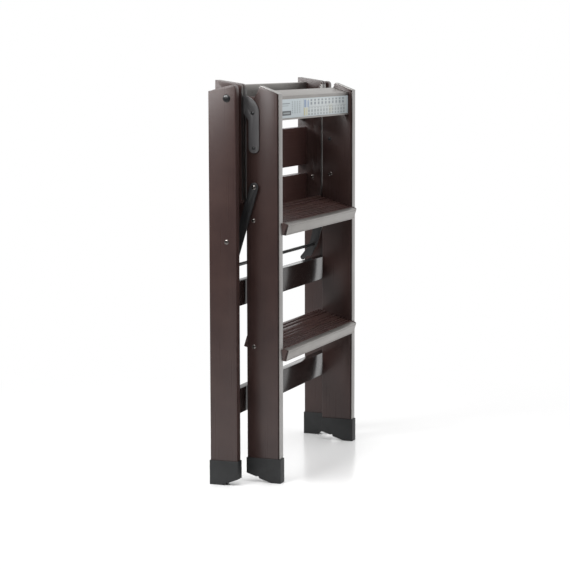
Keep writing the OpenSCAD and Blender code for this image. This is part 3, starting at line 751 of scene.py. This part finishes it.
def printed_panel():
    """Pale printed film: plain ruled boxes and colour bands, with no lettering.

    It looks like a smooth, slightly glossy pale sheet with small muted marks.
    Places on it run from 0 to 1 across and up.
    """
    material, tree, shader, place = finish("printed polyester film", IOR=1.55, Roughness=0.3)
    low, high = corners("label_plate")
    at = add(tree, "SeparateXYZ", {0: place})
    across = add(tree, "MapRange", {"Value": at.outputs["X"], "From Min": low.x * MM,
                                    "From Max": high.x * MM}).outputs[0]
    up = add(tree, "MapRange", {"Value": at.outputs["Z"], "From Min": low.z * MM,
                                "From Max": high.z * MM}).outputs[0]

    def within(value, start, end):
        """A mask that is 1 between two places and 0 outside."""
        past = add(tree, "Math", {0: value, 1: start}, operation="GREATER_THAN").outputs[0]
        short = add(tree, "Math", {0: value, 1: end}, operation="LESS_THAN").outputs[0]
        return add(tree, "Math", {0: past, 1: short}, operation="MULTIPLY").outputs[0]

    def area(x0, x1, z0, z1):
        """A mask of one box."""
        return add(tree, "Math", {0: within(across, x0, x1), 1: within(up, z0, z1)},
                   operation="MULTIPLY").outputs[0]

    def ruled(value, count, start, width):
        """A mask of upright or level rules, with 'count' cells to the whole panel."""
        cell = add(tree, "Math", {0: value, 1: count}, operation="MULTIPLY").outputs[0]
        share = add(tree, "Math", {0: cell}, operation="FRACT").outputs[0]
        return within(share, start, start + width)

    def cells(x0, x1, z0, z1, columns, rows):
        """Small marks on a grid, as rows of little pictures look from a distance."""
        marks = add(tree, "Math", {0: ruled(across, columns, 0.25, 0.5),
                                   1: ruled(up, rows, 0.1, 0.75)}, operation="MULTIPLY")
        return add(tree, "Math", {0: area(x0, x1, z0, z1), 1: marks.outputs[0]},
                   operation="MULTIPLY").outputs[0]

    def over(below, mask, code, strength=1.0):
        """Prints a colour over what is below it."""
        ink = add(tree, "Math", {0: mask, 1: strength}, operation="MULTIPLY").outputs[0]
        return add(tree, "Mix", {"Factor": ink, "A": below, "B": linear(code)},
                   data_type="RGBA").outputs["Result"]

    colour = over(linear("#aab3b7"), area(0.345, 0.97, 0.06, 0.94), "#b2b8b9")
    for mask, code, strength in (
            # Rows of small marks: two wide fields, a narrow column, the left box.
            (cells(0.40, 0.95, 0.56, 0.92, 19, 5), "#525d66", 0.8),
            (cells(0.40, 0.95, 0.06, 0.46, 23, 5), "#626b70", 0.75),
            (cells(0.70, 0.76, 0.08, 0.60, 54, 7), "#a39a6a", 0.6),
            (cells(0.17, 0.31, 0.2, 0.88, 30, 9), "#6f787c", 0.6),
            # Blue bands above, yellow bands below, and the rule between them.
            (area(0.345, 0.375, 0.50, 0.92), "#62789a", 0.85),
            (area(0.39, 0.415, 0.50, 0.86), "#7488a6", 0.75),
            (area(0.345, 0.36, 0.06, 0.48), "#a69d55", 0.85),
            (area(0.375, 0.39, 0.06, 0.48), "#ada56c", 0.75),
            (area(0.40, 0.97, 0.485, 0.51), "#747b7e", 0.8),
            # Short dark bars, a dark block with a light one in it, an upright rule.
            (area(0.045, 0.15, 0.74, 0.79), "#596063", 0.75),
            (area(0.045, 0.13, 0.63, 0.67), "#6b7275", 0.6),
            (area(0.045, 0.165, 0.14, 0.38), "#30363a", 0.95),
            (area(0.06, 0.15, 0.22, 0.30), "#8d9496", 0.8),
            (area(0.335, 0.34, 0.05, 0.95), "#747a7e", 0.7)):
        colour = over(colour, mask, code, strength)
    peel = grain(tree, place, FILM_PEEL)
    bump = add(tree, "Bump", {"Height": peel, "Strength": 0.03, "Distance": FILM_RELIEF * MM})
    tree.links.new(colour, shader.inputs["Base Color"])
    tree.links.new(bump.outputs[0], shader.inputs["Normal"])
    return material


FINISHES["label"] = printed_panel()
# Pieces whose finish differs from the rest of their slot.
SPECIAL = {
    # Dark neutral grey, lighter than the black parts, with a soft gloss.
    "pressed_hinge_plate": coated("grey pressed steel", ("#4c4b4c", "#545354"), 0.3, EVEN,
                                  0.05),
    # Near black with a tighter highlight on the dome.
    "main_pivot": coated("black oxide steel", ("#121213", "#181819"), 0.25, EVEN, 0.05),
    # Warmer and more even than the treads.
    "platform_slat": coated("smooth brown coat", ("#3f2a27", "#47302d"), 0.34, ALONG, 0.05),
    # Painted shade: the near strip lies in shadow in the narrow gap between the frames, so it gets
    # much darker, duller metal than the far strip.
    "platform_edge_left": brushed("dull anodised aluminium", ("#4c4a49", "#565453"), 0.4, UP),
}


def finish_of(piece, slot):
    """A piece's own finish if it has one, or its slot's."""
    for start, material in SPECIAL.items():
        if piece.name.startswith(start):
            return material
    return FINISHES[slot]


for piece, body, slot, replaced in made:
    piece.data.materials.clear()
    piece.data.materials.append(finish_of(piece, slot))
    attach(piece, body)
    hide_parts(*replaced)

# The plain studs and lugs of the stops keep their CAD shape.
for node in ("stop_studs", "platform_lugs"):
    for index in range(len(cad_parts[node].data.materials)):
        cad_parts[node].data.materials[index] = FINISHES["black_metal"]

# ---------------------------------------------------------------- studio
scene = bpy.context.scene
scene.view_settings.view_transform = "Standard"

# The floor is smooth and white where the ladder stands and mirrors it faintly.
# Further out it passes into an even white glow, dimmer towards the far left.
# Distances in the studio are in metres.
FLOOR_RADIUS = 14
GLOW_START, GLOW_FULL = 0.45, 1.3          # distance from the ladder
DIM_END, DIM_START, DIM_GLOW = -2.6, -1.05, 0.2    # along X, and the glow at its dimmest
deselect()
bpy.ops.mesh.primitive_circle_add(vertices=96, radius=FLOOR_RADIUS, fill_type="NGON",
                                  location=(0, 0, 0))
floor = name_new("studio_floor")
material, tree, shader, place = finish("white acrylic floor", Roughness=0.22, IOR=1.45)
shader.inputs["Base Color"].default_value = linear("#fafafa")
away = add(tree, "VectorMath", {0: place}, operation="LENGTH").outputs["Value"]
share = add(tree, "MapRange", {"Value": away, "From Min": GLOW_START, "From Max": GLOW_FULL},
            interpolation_type="SMOOTHSTEP").outputs[0]
along = add(tree, "SeparateXYZ", {0: place}).outputs["X"]
strength = add(tree, "MapRange", {"Value": along, "From Min": DIM_END, "From Max": DIM_START,
                                  "To Min": DIM_GLOW, "To Max": 1.0}).outputs[0]
glow = add(tree, "Emission", {"Color": (1, 1, 1, 1), "Strength": strength})
blend = add(tree, "MixShader", {0: share, 1: shader.outputs[0], 2: glow.outputs[0]})
tree.links.new(blend.outputs[0], tree.nodes["Material Output"].inputs["Surface"])
floor.data.materials.append(material)
floor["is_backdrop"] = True

# White towards +X, falling to a dim grey towards -X.
GREY_END, WHITE_START, GREY = -0.5, 0.3, 0.2
world = bpy.data.worlds.new("white studio")
world.use_nodes = True
tree = world.node_tree
facing = add(tree, "SeparateXYZ", {0: add(tree, "TexCoord").outputs["Generated"]}).outputs["X"]
level = add(tree, "MapRange", {"Value": facing, "From Min": GREY_END, "From Max": WHITE_START,
                               "To Min": GREY, "To Max": 1.0}).outputs[0]
tree.nodes["Background"].inputs["Color"].default_value = (1, 1, 1, 1)
tree.links.new(level, tree.nodes["Background"].inputs["Strength"])
scene.world = world


def softbox(name, place, aim, size, power):
    """A soft rectangular lamp, in metres and watts, that no view sees."""
    light = bpy.data.lights.new(name, "AREA")
    light.shape = "RECTANGLE"
    light.size, light.size_y = size
    light.energy = power
    lamp = bpy.data.objects.new(name, light)
    lamp.location = place
    lamp.rotation_euler = (Vector(aim) - Vector(place)).to_track_quat("-Z", "Y").to_euler()
    lamp.visible_camera = False
    scene.collection.objects.link(lamp)


MIDDLE, LEFT_TOP = (0, 0, 0.4), (-0.3, 0, 0.85)    # what the lamps are aimed at
softbox("top_softbox", (-0.6, -0.6, 2.6), MIDDLE, (1.8, 1.8), 38)
softbox("side_softbox", (-0.95, 0.85, 1.3), LEFT_TOP, (0.5, 0.5), 11)
softbox("gloss_softbox", (-1.3, 0.42, 1.3), LEFT_TOP, (0.6, 0.5), 12)

# ---------------------------------------------------------------- camera
# A long lens at the height of the ladder's top, looking slightly down.
LENS, SENSOR, CLIP = 118.54, 36, (0.1, 100)
STAND = (-4.0612, -1.5208, 0.9398)
yaw, pitch, roll = math.radians(20.76), math.radians(6.95), math.radians(-0.12)

camera = bpy.data.objects.new("camera", bpy.data.cameras.new("camera"))
scene.collection.objects.link(camera)
scene.camera = camera
camera.data.lens = LENS
camera.data.sensor_width = SENSOR
camera.data.clip_start, camera.data.clip_end = CLIP
forward = Vector((math.cos(yaw) * math.cos(pitch), math.sin(yaw) * math.cos(pitch),
                  -math.sin(pitch)))
right = Vector((math.sin(yaw), -math.cos(yaw), 0))
up = right.cross(forward)
side_axis = right * math.cos(roll) + up * math.sin(roll)
up_axis = up * math.cos(roll) - right * math.sin(roll)
turn = Matrix((side_axis, up_axis, -forward)).transposed().to_4x4()
camera.matrix_world = Matrix.Translation(STAND) @ turn

low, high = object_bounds()
